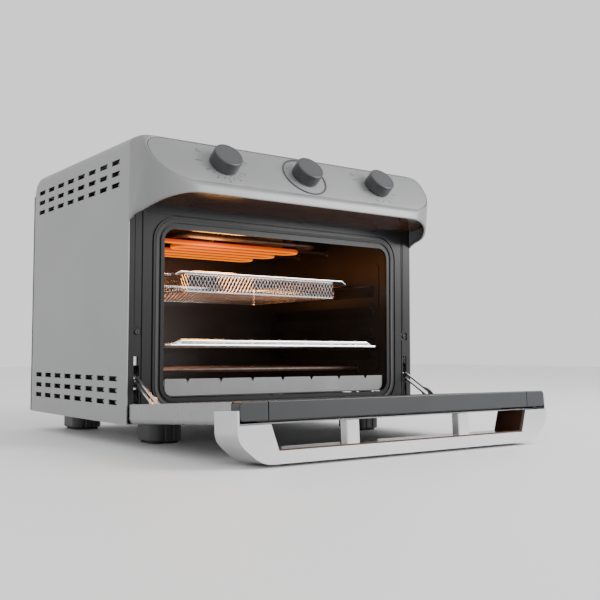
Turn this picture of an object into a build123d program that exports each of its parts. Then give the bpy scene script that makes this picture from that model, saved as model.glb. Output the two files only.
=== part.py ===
from build123d import *
import math
import os

# Countertop convection oven with a drop-down door, in millimetres.
# x runs across the oven, y from the door to the back, z up from the table top.
# The model is laid out with y = 0 at the front edges of the shell, and moved to its origin at the end.

# ---------------------------------------------------------------- driving sizes
body_width = 480.0
body_depth = 350.0
body_height = 363.0
foot_height = 28.0
sheet = 1.2
shell_side_radius = 12.0
shell_back_radius = 28.0

louvre_length = 24.5
louvre_height = 6.4
louvre_pitch_y = 38.3
louvre_pitch_z = 15.0
louvre_columns = 8
louvre_rows = 3
louvre_first_y = 41.5
louvre_low_z = 26.5
louvre_high_z = 305.0
louvre_tongue_length = 15.0
louvre_tongue_height = 3.4
louvre_tongue_angle = 17.0

opening_half_width = 190.0
opening_low_z = 32.0
opening_high_z = 249.5
opening_radius = 16.0
frame_front_y = 0.2
frame_thickness = 3.2
frame_low_z = 24.0
frame_high_z = 300.0
mark_xs = (-154.0, 28.0, 164.0)
groove_depth = 2.0
gasket_width = 4.0

cavity_half_width = 192.0
cavity_back_y = 318.0
cavity_floor_z = 34.0
cavity_roof_z = 275.0
liner = 1.0
guide_levels = (97.0, 130.0, 163.0, 195.0)
guide_reach = 9.0
guide_drop = 18.0
guide_front_y = 31.0
guide_back_y = 292.0
wall_pad = 1.5

hood_front_y = -72.0
hood_lip_z = 286.0
hood_cheek_z = 254.4
hood_corner_radius = 62.0
hood_wall = 2.0
fascia_lean = 37.6
fascia_foot = (-67.1, 300.2)
fascia_length = 79.7
fascia_panel_thickness = 1.2
knob_spacing = 130.5
knob_slope = 38.2
knob_radius = 20.0
knob_height = 18.7
knob_gap = 1.2
control_depth = 9.0
shaft_radius = 3.0
running_clearance = 0.05
ring_radius = 34.6
fascia_border_width = 1.7

door_half_width = 237.5
door_thickness = 24.0
door_gap = 0.8
door_low_z = 5.5
door_length = 253.7
door_open_angle = 86.6
hinge_y = -12.5
hinge_z = 14.5
hinge_pin_radius = 3.0
door_edge_radius = 6.0
window_half_width = 186.0
window_low_z = 44.0
window_high_z = 216.0
glass_thickness = 3.6
bar_height = 16.0
bar_thickness = 20.2
bar_seam_x = 202.0
handle_depth = 45.0
handle_reach = 65.0
handle_bar_thickness = 13.4
handle_half_width = 240.0
handle_wall = 2.5
post_x = 87.5
post_width = 18.2
finger_gap_half_width = 199.0
finger_gap_taper = 9.0

stay_x = 227.3
stay_thickness = 2.4
stay_radius = 48.0
stay_guide_angle = 68.0
stay_pivot_angle = 168.0
stay_slot_width = 4.6
guide_pin_radius = 2.0
hinge_slot_high_z = 85.0
hinge_slot_width = 7.5
hinge_web_spans = ((20.5, 26.0), (43.5, 46.0), (74.0, 87.0))

rack_wire = 2.5
rack_half_width = 186.4
rack_front_y = 12.0
rack_back_y = 286.0
rack_level = 0
rack_pitch = 46.5
rack_rail_rise = 5.6
basket_half_width = 134.0
basket_front_y = 52.0
basket_back_y = 282.0
basket_depth = 27.0
basket_sheet = 1.0
basket_level = 3
seat_gap = 0.3

tray_half_width = 185.0
tray_top_z = 56.0
tray_notches = 7
tray_notch_pitch = 50.5

heater_plane_z = 249.0
grill_rod_radius = 3.2
grill_rods = 6
grill_front_y = 108.0
grill_back_y = 270.0
grill_half_width = 104.0
loop_rod_radius = 3.5
loop_half_width = 120.0
loop_front_y = 88.0
loop_back_y = 292.0
loop_leg_front = 150.0
loop_leg_back = 230.0
base_rod_radius = 3.5
base_rod_z = 66.0
base_rod_ys = (70.0, 250.0)

fan_y = 190.0
fan_radius = 46.0
fan_blades = 12
fan_blade_height = 11.0
fan_dome_radius = 50.0
fan_dome_height = 20.0
fan_cover_radius = 58.0
fan_hole_rings = ((10, 8), (19, 14), (28, 20), (37, 26), (46, 32))
fan_hole_radius = 2.0
motor_radius = 27.0
motor_length = 24.0

foot_width = 46.0
foot_depth = 54.0
foot_x = 171.0
foot_front_y = 46.0
foot_back_y = 306.0
sole_height = 3.0

sill_y = 7.0
sill_half_width = 220.0
gland_x = -190.0
gland_z = 30.0
gland_radius = 7.0

# ---------------------------------------------------------------- derived sizes
half_width = body_width / 2
inner_half_width = half_width - sheet
frame_back_y = frame_front_y + frame_thickness
door_inner_y = -door_gap
door_outer_y = -door_gap - door_thickness
door_top_z = door_low_z + door_length
lean = math.radians(fascia_lean)
slope_dir = Vector(0, math.sin(lean), math.cos(lean))
fascia_normal = Vector(0, -math.cos(lean), math.sin(lean))
fascia_origin = Vector(0, fascia_foot[0], fascia_foot[1] + foot_height)
fascia_middle = fascia_length / 2
loop_plane_z = heater_plane_z + grill_rod_radius + loop_rod_radius + 0.8
basket_rim_z = guide_levels[basket_level] + 2.0 + seat_gap
fan_mount_z = cavity_roof_z + liner + fan_dome_height


# ---------------------------------------------------------------- shape helpers
def block(x, y, z):
    """A box from three (low, high) pairs, with z measured from the shell's lower edge."""
    size = (x[1] - x[0], y[1] - y[0], z[1] - z[0])
    centre = ((x[0] + x[1]) / 2, (y[0] + y[1]) / 2, (z[0] + z[1]) / 2 + foot_height)
    return Pos(*centre) * Box(*size)


def both_sides(make):
    """The part that make(side) builds, on the left (-1) and on the right (+1)."""
    return [make(-1), make(1)]


def across(points, x_low, x_high):
    """An outline in (y, z) carried from x_low to x_high."""
    sketch = Plane.YZ.offset(x_low) * Pos(0, foot_height) * Polygon(*points, align=None)
    return extrude(sketch, amount=x_high - x_low, dir=(1, 0, 0))


def upright(sketch, y_low, y_high):
    """An outline in (x, z) carried from y_low to y_high."""
    face = Plane.XZ.offset(-y_high) * Pos(0, foot_height) * sketch
    return extrude(face, amount=y_high - y_low, dir=(0, -1, 0))


def level(sketch, z_low, z_high):
    """An outline in (x, y) carried from z_low to z_high."""
    return extrude(Plane.XY.offset(z_low + foot_height) * sketch, amount=z_high - z_low, dir=(0, 0, 1))


def rod(start, end, radius):
    """A round bar between two points, with z measured from the shell's lower edge."""
    lift = Vector(0, 0, foot_height)
    first, last = Vector(*start) + lift, Vector(*end) + lift
    return extrude(Plane(origin=first, z_dir=last - first) * Circle(radius), amount=(last - first).length)


def bent_rod(points, radius, bend, close=False):
    """A round bar along a route with rounded corners."""
    route = FilletPolyline(*[(x, y, z + foot_height) for x, y, z in points], radius=bend, close=close)
    return sweep(Plane(origin=route @ 0, z_dir=route % 0) * Circle(radius), path=route)


def ring_sketch(half_wide, low, high, radius):
    """A rounded rectangle in (x, z) about the oven's middle."""
    return Pos(0, (low + high) / 2) * RectangleRounded(2 * half_wide, high - low, radius)


def opening_ring(grow):
    """The outline of the front opening, grown on every side."""
    return ring_sketch(
        opening_half_width + grow, opening_low_z - grow, opening_high_z + grow, opening_radius + grow
    )


def turned(point, angle):
    """A (y, z) point turned about the door's hinge axis, in degrees."""
    turn = math.radians(angle)
    y, z = point[0] - hinge_y, point[1] - hinge_z
    return (
        hinge_y + y * math.cos(turn) - z * math.sin(turn),
        hinge_z + y * math.sin(turn) + z * math.cos(turn),
    )


def opened(shape):
    """A door piece that is drawn shut, laid down to its open stop."""
    axis = Axis((0, hinge_y, hinge_z + foot_height), (1, 0, 0))
    return shape.rotate(axis, door_open_angle)


def on_fascia(shape, x, slope, height=0.0):
    """A piece drawn about z, stood on the fascia at x and at a distance up its slope."""
    origin = fascia_origin + slope_dir * slope + fascia_normal * height + Vector(x, 0, 0)
    return Plane(origin=origin, x_dir=(1, 0, 0), z_dir=fascia_normal) * shape


# ---------------------------------------------------------------- shell, panels and feet
def shell_form(inset):
    """The shell's outer form, or its inner one when inset by the sheet."""
    back, top = body_depth - inset, body_height - inset
    radius = shell_back_radius - inset
    outline = Polyline((0, top), (0, 0), (back, 0), (back, top - radius))
    corner = RadiusArc((back, top - radius), (back - radius, top), -radius)
    roof = Line((back - radius, top), (0, top))
    side = Plane.YZ.offset(-half_width + inset) * Pos(0, foot_height)
    face = make_face(side * Wire([*outline.edges(), corner, roof]))
    form = extrude(face, amount=body_width - 2 * inset, dir=(1, 0, 0))
    crest = [
        edge
        for edge in form.edges()
        if abs(abs(edge.center().X) - half_width + inset) < 0.01
        and edge.center().Z > foot_height + top - radius
        and edge.center().Y > 1
    ]
    return fillet(crest, shell_side_radius - inset)


def louvre_places():
    """The (y, z) centre of every louvre on one side."""
    for low in (louvre_low_z, louvre_high_z):
        for row in range(louvre_rows):
            for column in range(louvre_columns):
                yield louvre_first_y + column * louvre_pitch_y, low + row * louvre_pitch_z


def louvre_tongue(side, y, z):
    """The lanced tongue of one louvre: it bends inwards from the slot's front end."""
    front = y - louvre_length / 2
    reach = Pos(0, louvre_tongue_length / 2, 0) * Box(sheet, louvre_tongue_length, louvre_tongue_height)
    bent = Rot(0, 0, side * louvre_tongue_angle) * reach
    return Pos(side * (half_width - sheet / 2), front - 0.4, z + foot_height) * bent


def make_outer_shell():
    hollow = shell_form(sheet)
    below = block((-inner_half_width, inner_half_width), (0, body_depth - sheet), (-1, sheet + 1))
    rear_top = body_height - shell_back_radius
    rear = block((-inner_half_width, inner_half_width), (body_depth - 5, body_depth + 1), (-1, rear_top))
    shell = shell_form(0.0) - hollow - below - rear
    places = list(louvre_places())
    slots = [
        block(
            (side * half_width - 2, side * half_width + 2),
            (y - louvre_length / 2, y + louvre_length / 2),
            (z - louvre_height / 2, z + louvre_height / 2),
        )
        for side in (-1, 1)
        for y, z in places
    ]
    tongues = [louvre_tongue(side, y, z) for side in (-1, 1) for y, z in places]
    return shell - slots + tongues


def make_back_panel():
    top = body_height - shell_back_radius - 0.4
    face = (body_depth - 2 * sheet, body_depth - sheet)
    panel = block((-inner_half_width, inner_half_width), face, (0, top))
    vents = [
        block((x - 16, x + 16), (body_depth - 4, body_depth + 2), (z - 2, z + 2))
        for x in (-170, -125, 125, 170)
        for z in range(60, 300, 14)
    ]
    screw_holes = [rod((x, body_depth - 6, z), (x, body_depth + 2, z), 1.8) for x, z in back_screw_places()]
    gland_hole = rod((gland_x, body_depth - 6, gland_z), (gland_x, body_depth + 2, gland_z), gland_radius)
    return panel + make_wall_spacers() - vents - screw_holes - gland_hole


def back_screw_places():
    return [(side * (inner_half_width - 10), z) for side in (-1, 1) for z in (12, 165, 315)]


def screw(point, direction, head_radius=3.6, shank=6.0):
    """A pan-head screw: its head sits at point and its shank runs along direction."""
    way = Vector(*direction)
    seat = Vector(*point) + Vector(0, 0, foot_height)
    head = extrude(Plane(origin=seat, z_dir=-way) * Circle(head_radius), amount=2.0)
    body = extrude(Plane(origin=seat, z_dir=way) * Circle(1.6), amount=shank)
    cross = Rectangle(4.4, 0.9) + Rectangle(0.9, 4.4)
    recess = extrude(Plane(origin=seat - way * 2.0, z_dir=way) * cross, amount=1.1)
    rim = (head.edges() | GeomType.CIRCLE).sort_by(lambda e: (e.center() - seat).dot(way))[0]
    return fillet(rim, 0.8) + body - recess


def make_back_screws():
    return [screw((x, body_depth - sheet, z), (0, -1, 0)) for x, z in back_screw_places()]


def gland_rod(y_low, y_high, radius):
    """A cylinder on the gland's axis, from the back panel's outer face."""
    face = body_depth - sheet
    return rod((gland_x, face + y_low, gland_z), (gland_x, face + y_high, gland_z), radius)


def make_cord_gland():
    gland = gland_rod(0, 4.2, gland_radius + 3) + gland_rod(-10.8, 0, gland_radius - 0.1)
    return gland - gland_rod(-12, 5, 3.6)


def make_wall_spacers():
    """Two stand-off ribs that keep the back away from a wall."""
    rib = RectangleRounded(14, 90, 6)
    return [
        upright(Pos(x, 200) * rib, body_depth - sheet, body_depth + 8) for x in (-80, 80)
    ]


def make_base_plate():
    plate = block((-inner_half_width, inner_half_width), (sill_y, body_depth - 2 * sheet), (0, sheet))
    sill = block((-sill_half_width, sill_half_width), (sill_y, sill_y + sheet), (sheet, frame_low_z + 6))
    vents = [
        block((x - 20, x + 20), (y - 2.5, y + 2.5), (-1, 3))
        for x in (-90, -30, 30, 90)
        for y in range(90, 280, 16)
    ]
    holes = [rod((x, y, -2), (x, y, 4), 2.4) for x, y in foot_places()]
    return plate + sill + make_cavity_struts() - vents - holes


def foot_places():
    return [(x, y) for x in (-foot_x, foot_x) for y in (foot_front_y, foot_back_y)]


def make_feet():
    """Moulded feet: rounded blocks with two flutes down each long side and a screw well."""
    feet = []
    for x, y in foot_places():
        form = Pos(x, y) * RectangleRounded(foot_width, foot_depth, 13)
        foot = level(form, -foot_height + sole_height, 0)
        foot = chamfer(foot.faces().sort_by(Axis.Z)[0].edges(), 1.5)
        flutes = [
            rod((x + dx, y + dy, -foot_height), (x + dx, y + dy, 1), 2.2)
            for dx in (-6, 6)
            for dy in (-foot_depth / 2 - 0.8, foot_depth / 2 + 0.8)
        ]
        well = rod((x, y, -foot_height), (x, y, -6), 5.0)
        bore = rod((x, y, -8), (x, y, 1), 2.4)
        feet.append(foot - flutes - well - bore)
    return feet


def make_soles():
    """Rubber rings pressed under the feet."""
    soles = []
    for x, y in foot_places():
        form = Pos(x, y) * (RectangleRounded(foot_width - 8, foot_depth - 8, 10) - Circle(6))
        soles.append(level(form, -foot_height, -foot_height + sole_height))
    return soles


def make_foot_screws():
    return [screw((x, y, -6), (0, 0, 1), 3.8, 11.0) for x, y in foot_places()]


# ---------------------------------------------------------------- front frame
def make_front_frame():
    """The enamelled front: a plate with stepped rings, edge strips and hinge slots."""
    width = (-inner_half_width, inner_half_width)
    plate = block(width, (frame_front_y, frame_back_y), (frame_low_z, frame_high_z))
    frame = plate - upright(opening_ring(0.0), frame_front_y - 1, frame_back_y + 1)
    lip = upright(opening_ring(5.0) - opening_ring(0.0), frame_front_y - 0.5, frame_back_y)
    grooves = opening_ring(8.0 + gasket_width) - opening_ring(8.0)
    outer_groove = opening_ring(17.5) - opening_ring(15.2)
    keep = Pos(0, (frame_low_z + 1.2 + 300) / 2) * Rectangle(500, 300 - frame_low_z - 1.2)
    cuts = upright((grooves + outer_groove) & keep, frame_front_y - 2, frame_front_y + groove_depth)
    step = upright((opening_ring(8.0) - opening_ring(5.0)) & keep, frame_front_y - 2, frame_front_y + 1.2)
    frame = frame + lip - cuts - step
    strips = []
    for side in (-1, 1):
        seam_x = side * 221.0
        strips.append(block((seam_x - 0.8, seam_x + 0.8), (-1, frame_front_y + 1.4), (frame_low_z + 2, 268)))
        strips.append(hinge_slot(side, 0.0))
        tab_x = side * 226.8
        strips.append(block((tab_x - 5.5, tab_x + 5.5), (-1, frame_front_y + 1.6), (109.5, 121.5)))
        strips.append(rod((tab_x, -1, 115.5), (tab_x, 5, 115.5), 1.6 + running_clearance))
    dashes = [slanted_mark(x) for x in mark_xs]
    ribs = both_sides(edge_rib) + [top_rib()]
    return frame - strips - dashes + ribs


def hinge_slot(side, grow):
    x = side * stay_x
    half = hinge_slot_width / 2 + grow
    return block((x - half, x + half), (-2, frame_back_y + 1), (frame_low_z - 1, hinge_slot_high_z))


def edge_rib(side):
    """The upright pressed rib beside the opening, tapered at its foot."""
    x = side * 227.5
    half = [(3.5, 266), (3.5, 128), (2.5, 124)]
    outline = [(x - dx, z) for dx, z in half] + [(x + dx, z) for dx, z in reversed(half)]
    return upright(Polygon(*outline, align=None), frame_front_y - 0.6, frame_front_y + 0.5)


def top_rib():
    """The long pressed rib above the opening."""
    return upright(Pos(0, 269.5) * RectangleRounded(428, 3.6, 1.7), frame_front_y - 0.6, frame_front_y + 0.5)


def slanted_mark(x):
    """A short slanted groove pressed into the frame above the opening."""
    slot = Pos(x, 275.0) * Rot(0, 0, 27) * RectangleRounded(15, 2.2, 1.0)
    return upright(slot, frame_front_y - 1, frame_front_y + 0.9)


def make_frame_screws():
    return [screw((side * 226.8, frame_front_y + 1.6, 115.5), (0, 1, 0), 3.2, 6.0) for side in (-1, 1)]


def make_gasket():
    """The seal round the opening, in its groove and just proud of the frame."""
    ring = opening_ring(8.0 + gasket_width - 0.2) - opening_ring(8.2)
    keep = Pos(0, (frame_low_z + 1.6 + 300) / 2) * Rectangle(500, 300 - frame_low_z - 1.6)
    return upright(ring & keep, frame_front_y - 0.6, frame_front_y + groove_depth)


# ---------------------------------------------------------------- cavity
def guide_ledge(side, top):
    """One pressed runner on a side wall: a flat top with a sloping underside."""
    face = side * (cavity_half_width - wall_pad)
    tip = side * (cavity_half_width - guide_reach)
    outline = Polygon((face, top), (tip, top), (tip, top - 2.0), (face, top - guide_drop), align=None)
    ledge = upright(outline, guide_front_y, guide_back_y)
    return ledge


def make_side_wall(side):
    x = sorted((side * cavity_half_width, side * (cavity_half_width + liner)))
    wall = block(x, (frame_back_y, cavity_back_y), (cavity_floor_z, cavity_roof_z))
    pad_sketch = Pos((19 + 302) / 2, (62 + 231) / 2 + foot_height) * RectangleRounded(283, 169, 12)
    pad_x = side * cavity_half_width - (wall_pad if side > 0 else 0)
    pad = extrude(Plane.YZ.offset(pad_x) * pad_sketch, amount=wall_pad)
    ledges = [guide_ledge(side, top) for top in guide_levels]
    face, tip = side * cavity_half_width, side * (cavity_half_width - 0.8)
    studs = [rod((face, 11, z), (tip, 11, z), 2.0) for z in (90, 186)]
    holes = [
        rod((side * (cavity_half_width - 2), y, z), (side * (cavity_half_width + 3), y, z), r + 1.0)
        for y, z, r in wall_crossings(side)
    ]
    return wall + pad + ledges + studs - holes


def wall_crossings(side):
    """Where heater ends pass through a side wall: y, z and rod radius."""
    rods = [(y, base_rod_z, base_rod_radius) for y in base_rod_ys]
    if side < 0:
        return rods + [(y, heater_plane_z, grill_rod_radius) for y in (grill_front_y, grill_back_y)]
    return rods + [(y, loop_plane_z, loop_rod_radius) for y in (loop_leg_front, loop_leg_back)]


def make_cavity_back():
    return block(
        (-cavity_half_width - liner, cavity_half_width + liner),
        (cavity_back_y, cavity_back_y + liner),
        (cavity_floor_z, cavity_roof_z),
    )


def make_cavity_floor():
    plate = block(
        (-cavity_half_width - liner, cavity_half_width + liner),
        (frame_back_y, cavity_back_y + liner),
        (cavity_floor_z - liner, cavity_floor_z),
    )
    rib_z = (cavity_floor_z - 3.0, cavity_floor_z - liner)
    ribs = [block((x - 4, x + 4), (40, 290), rib_z) for x in (-110, 0, 110)]
    return plate + ribs


def make_cavity_roof():
    plate = block(
        (-cavity_half_width - liner, cavity_half_width + liner),
        (frame_back_y, cavity_back_y + liner),
        (cavity_roof_z, cavity_roof_z + liner),
    )
    lip_z = (opening_high_z + 5.5, cavity_roof_z)
    lip = block((-opening_half_width, opening_half_width), (frame_back_y, frame_back_y + liner), lip_z)
    dome = fan_rod(cavity_roof_z, fan_mount_z, fan_dome_radius + liner)
    hollow = fan_rod(cavity_roof_z - 1, fan_mount_z - liner, fan_dome_radius)
    shaft_hole = fan_rod(fan_mount_z - 3, fan_mount_z + 1, shaft_radius + 1.5)
    return plate + lip + dome - hollow - shaft_hole


def make_roof_insulation():
    mat = block((-180, 180), (20, 308), (cavity_roof_z + liner, cavity_roof_z + liner + 14))
    return mat - fan_rod(cavity_roof_z, fan_mount_z, fan_dome_radius + liner + 0.5)


def make_cavity_struts():
    """Pressed struts that carry the cavity on the base plate."""
    return [
        block((x - 10, x + 10), (y - 8, y + 8), (sheet, cavity_floor_z - liner))
        for x in (-150, 150)
        for y in (100, 240)
    ]


# ---------------------------------------------------------------- heaters
def make_grill_element():
    """The glowing upper element: parallel rods joined by bends, both ends in the left wall."""
    pitch = (grill_back_y - grill_front_y) / (grill_rods - 1)
    wall_x = -cavity_half_width - 8
    points = [(wall_x, grill_front_y, heater_plane_z)]
    for index in range(grill_rods):
        y = grill_front_y + index * pitch
        far = grill_half_width if index % 2 == 0 else -grill_half_width + 10
        if index == grill_rods - 1:
            far = wall_x
        if index:
            points.append((points[-1][0], y, heater_plane_z))
        points.append((far, y, heater_plane_z))
    return bent_rod(points, grill_rod_radius, pitch / 2 - 0.5)


def make_loop_element():
    """The outer upper element: a wide loop whose two legs leave through the right wall."""
    wall_x = cavity_half_width + 8
    points = [
        (wall_x, loop_leg_front, loop_plane_z),
        (loop_half_width, loop_leg_front, loop_plane_z),
        (loop_half_width, loop_front_y, loop_plane_z),
        (-loop_half_width, loop_front_y, loop_plane_z),
        (-loop_half_width, loop_back_y, loop_plane_z),
        (loop_half_width, loop_back_y, loop_plane_z),
        (loop_half_width, loop_leg_back, loop_plane_z),
        (wall_x, loop_leg_back, loop_plane_z),
    ]
    return bent_rod(points, loop_rod_radius, 14.0)


def make_base_elements():
    reach = cavity_half_width + 8
    return [rod((-reach, y, base_rod_z), (reach, y, base_rod_z), base_rod_radius) for y in base_rod_ys]


def make_element_hangers():
    """Steel strips that hang from the roof and steady the upper elements."""
    top = cavity_roof_z
    rest = heater_plane_z + grill_rod_radius + seat_gap
    loop_rest = loop_plane_z + loop_rod_radius + seat_gap
    hangers = []
    for x in (-62, 62):
        hangers.append(block((x - 0.8, x + 0.8), (loop_front_y + 8, loop_back_y - 8), (rest, top)))
        for y in (loop_front_y, loop_back_y):
            hangers.append(block((x + 8, x + 9.6), (y - 6, y + 6), (loop_rest, top)))
    return hangers


def make_element_ends():
    """Ceramic collars where the elements leave the side walls."""
    collars = []
    for side in (-1, 1):
        for y, z, radius in wall_crossings(side):
            outside = side * (cavity_half_width + liner)
            body = rod((outside, y, z), (outside + side * 6, y, z), radius + 4)
            collars.append(body - rod((outside - side, y, z), (outside + side * 7, y, z), radius + 0.3))
    return collars


# ---------------------------------------------------------------- fan
def fan_rod(z_low, z_high, radius):
    """A cylinder on the fan's upright axis."""
    return rod((0, fan_y, z_low), (0, fan_y, z_high), radius)


def make_fan_wheel():
    top = fan_mount_z - liner - 3.0
    hub = fan_rod(top - fan_blade_height - 2, top, 9)
    disc = fan_rod(top - 1.2, top, fan_radius)
    blade = block((8, fan_radius - 2), (fan_y - 0.6, fan_y + 0.6), (top - 1.2 - fan_blade_height, top - 1.0))
    axis = Axis((0, fan_y, 0), (0, 0, 1))
    blades = [blade.rotate(axis, 360 / fan_blades * index) for index in range(fan_blades)]
    bore = fan_rod(top - fan_blade_height - 3, top + 1, shaft_radius)
    return hub + disc + blades - bore


def make_fan_shaft():
    low = fan_mount_z - liner - 3.0 - fan_blade_height - 1.5
    return fan_rod(low, fan_mount_z + motor_length - 3, shaft_radius)


def make_fan_motor():
    can = fan_rod(fan_mount_z, fan_mount_z + motor_length, motor_radius)
    ears = block((-40, 40), (fan_y - 7, fan_y + 7), (fan_mount_z, fan_mount_z + 2))
    bore = fan_rod(fan_mount_z - 1, fan_mount_z + motor_length - 2, shaft_radius + running_clearance)
    return can + ears - bore


def make_fan_cover():
    """The flat guard under the fan, pierced with rings of holes."""
    plate = fan_rod(cavity_roof_z - liner, cavity_roof_z, fan_cover_radius)
    holes = [
        rod(
            (ring * math.cos(turn), fan_y + ring * math.sin(turn), cavity_roof_z - 3),
            (ring * math.cos(turn), fan_y + ring * math.sin(turn), cavity_roof_z + 1),
            fan_hole_radius,
        )
        for ring, count in fan_hole_rings
        for turn in [2 * math.pi * index / count for index in range(count)]
    ]
    return plate - holes


# ---------------------------------------------------------------- hood and controls
def hood_outline(inset, floor_drop):
    """The hood in side view: cheek, lip, leaning fascia and roof."""
    along = math.tan(lean)
    top = body_height - inset
    offset = inset / math.cos(lean)
    foot_y, foot_z = fascia_foot
    front = hood_front_y + inset
    front_top_z = foot_z - (foot_y + offset - front) / along
    roof_y = foot_y + offset + (top - foot_z) * along
    back = 0.0 if inset == 0 else 1.0
    return [
        (back, hood_cheek_z - floor_drop),
        (-46.0, 282.0 - floor_drop),
        (front, hood_lip_z - floor_drop),
        (front, front_top_z),
        (roof_y, top),
        (back, top),
    ]


def hood_plan(inset):
    """The hood seen from above, with its two big front corners."""
    wide = 2 * (half_width - inset)
    deep = 2 * (-hood_front_y - inset)
    return RectangleRounded(wide, deep + 80, hood_corner_radius - inset)


def hood_form(inset, floor_drop):
    body = across(hood_outline(inset, floor_drop), -half_width + inset, half_width - inset)
    middle = Pos(0, 40) * hood_plan(inset)
    return body & level(middle, 150, 400)


def hood_solid(inset):
    """The hood's form with its roof edges rounded to follow the shell's."""
    front_view = ring_sketch(half_width - inset, 0, body_height - inset, shell_side_radius - inset)
    return hood_form(inset, 0.0 if inset == 0 else 60.0) & upright(front_view, -120, 20)


def make_hood():
    shell = hood_solid(0.0) - hood_solid(hood_wall)
    holes = [on_fascia(Cylinder(shaft_radius + 2.5, 20), x, knob_slope) for x in knob_places()]
    return shell - holes


def knob_places():
    return (-knob_spacing, 0.0, knob_spacing)


def make_soffit():
    """The dark panel under the hood, between the lip and the front frame."""
    margin = hood_wall + 0.1
    front = hood_front_y + margin
    lip = hood_lip_z + 0.2
    outline = [(frame_front_y, 279.6), (front, lip), (front, lip + 1.4), (frame_front_y, 281.0)]
    body = across(outline, -half_width + margin, half_width - margin)
    return body & level(Pos(0, 40) * hood_plan(margin), 150, 400)


def fascia_sketch(margin):
    wide = body_width - 24 - 2 * margin
    high = fascia_length - 3 - 2 * margin
    return RectangleRounded(wide, high, 34 - margin)


def make_fascia_panel():
    plate = extrude(fascia_sketch(fascia_border_width + 0.2), amount=fascia_panel_thickness)
    panel = on_fascia(plate, 0, fascia_middle)
    holes = [on_fascia(Cylinder(shaft_radius + 1.2, 20), x, knob_slope) for x in knob_places()]
    ring = Cylinder(ring_radius, 4) - Cylinder(ring_radius - 2.4, 4)
    groove = on_fascia(ring, 0, knob_slope, fascia_panel_thickness + 1.4)
    return panel - holes - groove


def make_fascia_border():
    ring = extrude(fascia_sketch(0.0) - fascia_sketch(fascia_border_width), amount=1.8)
    return on_fascia(ring, 0, fascia_middle)


def make_centre_ring():
    ring = Cylinder(ring_radius - 0.1, 1.4, align=(Align.CENTER, Align.CENTER, Align.MIN))
    hole = Cylinder(ring_radius - 2.3, 4)
    return on_fascia(ring - hole, 0, knob_slope, 0.6 + 0.02)


def make_knob(x):
    """A turned knob: waisted skirt, crowned edge and a pointer notch."""
    base = fascia_panel_thickness + knob_gap
    body = Cylinder(knob_radius, knob_height - 1.2, align=(Align.CENTER, Align.CENTER, Align.MIN))
    body = fillet(body.edges().sort_by(Axis.Z)[-1], 1.8)
    body = chamfer(body.edges().sort_by(Axis.Z)[0], 1.0)
    face_line = Cylinder(knob_radius - 3.4, 1.2) - Cylinder(knob_radius - 3.9, 1.2)
    pointer = Pos(0, knob_radius - 8.0, 0) * Cylinder(1.0, 1.2)
    marks = Pos(0, 0, knob_height - 1.2) * (face_line + pointer)
    bore = Cylinder(shaft_radius + 0.02, 2 * (knob_height - 4.0))
    return on_fascia(body - marks - bore, x, knob_slope, base)


def make_knob_shaft(x):
    low = -22.0
    high = fascia_panel_thickness + knob_gap + knob_height - 4.0
    shaft = Cylinder(shaft_radius, high - low, align=(Align.CENTER, Align.CENTER, Align.MIN))
    return on_fascia(shaft, x, knob_slope, low)


def make_control_plate():
    """The steel strip behind the fascia that carries the three controls."""
    plate = Box(360, 40, 1.2)
    holes = [Pos(x, 0, 0) * Cylinder(shaft_radius + 1.2, 6) for x in knob_places()]
    lift = control_depth - hood_wall
    ends = [Pos(side * 172, 0, lift / 2) * Box(14, 34, lift - 1.2) for side in (-1, 1)]
    return on_fascia(plate - holes + ends, 0, knob_slope, -control_depth)


def make_control(x, wide, high, deep):
    """A switch or timer body with a threaded neck and the shaft's blind bore."""
    top = -control_depth - 0.6
    case = Pos(0, 0, top - deep / 2) * Box(wide, high, deep)
    bore = Pos(0, 0, top) * Cylinder(shaft_radius + running_clearance, 2 * (22.0 - control_depth) + 0.8)
    tabs = [Pos(side * wide / 4, 0, top - deep - 3) * Box(6.3, 0.8, 6) for side in (-1, 1)]
    return on_fascia(case - bore + tabs, x, knob_slope)


# ---------------------------------------------------------------- hinges
def hinge_point(angle, radius):
    turn = math.radians(angle)
    return hinge_y + radius * math.cos(turn), hinge_z + radius * math.sin(turn)


def make_hinge_cage(side):
    """The pressed cage behind the frame slot, with the lug that carries the door."""
    x = side * stay_x
    y = (frame_back_y, frame_back_y + 36)
    z = (9.0, 96.0)
    outer = block((x - 6.2, x + 6.2), y, z)
    inner = block((x - 5.0, x + 5.0), (y[0] - 1, y[1] + 1), (z[0] + 3.0, z[1] - 1.2))
    lug_bar = block((x - 2.5, x + 2.5), (hinge_y, y[0] + 12), (hinge_z - 5.5, hinge_z + 5.5))
    lug_end = rod((x - 2.5, hinge_y, hinge_z), (x + 2.5, hinge_y, hinge_z), 5.5)
    bore = rod((x - 4, hinge_y, hinge_z), (x + 4, hinge_y, hinge_z), hinge_pin_radius + running_clearance)
    webs = [block((x - 5.5, x + 5.5), (y[0] + 1.5, y[0] + 2.7), span) for span in hinge_web_spans]
    return outer - inner + webs + lug_bar + lug_end - bore


def make_guide_pin(side):
    """The roller pin that the stay slides on."""
    x = side * stay_x
    y, z = hinge_point(stay_guide_angle, stay_radius)
    return rod((x - 5.0, y, z), (x + 5.0, y, z), guide_pin_radius)


def stay_span(pivot_angle):
    """From the stay's pivot to the guide pin, with the pivot at that angle about the hinge."""
    return 2 * stay_radius * math.sin(math.radians((pivot_angle - stay_guide_angle) / 2))


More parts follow.
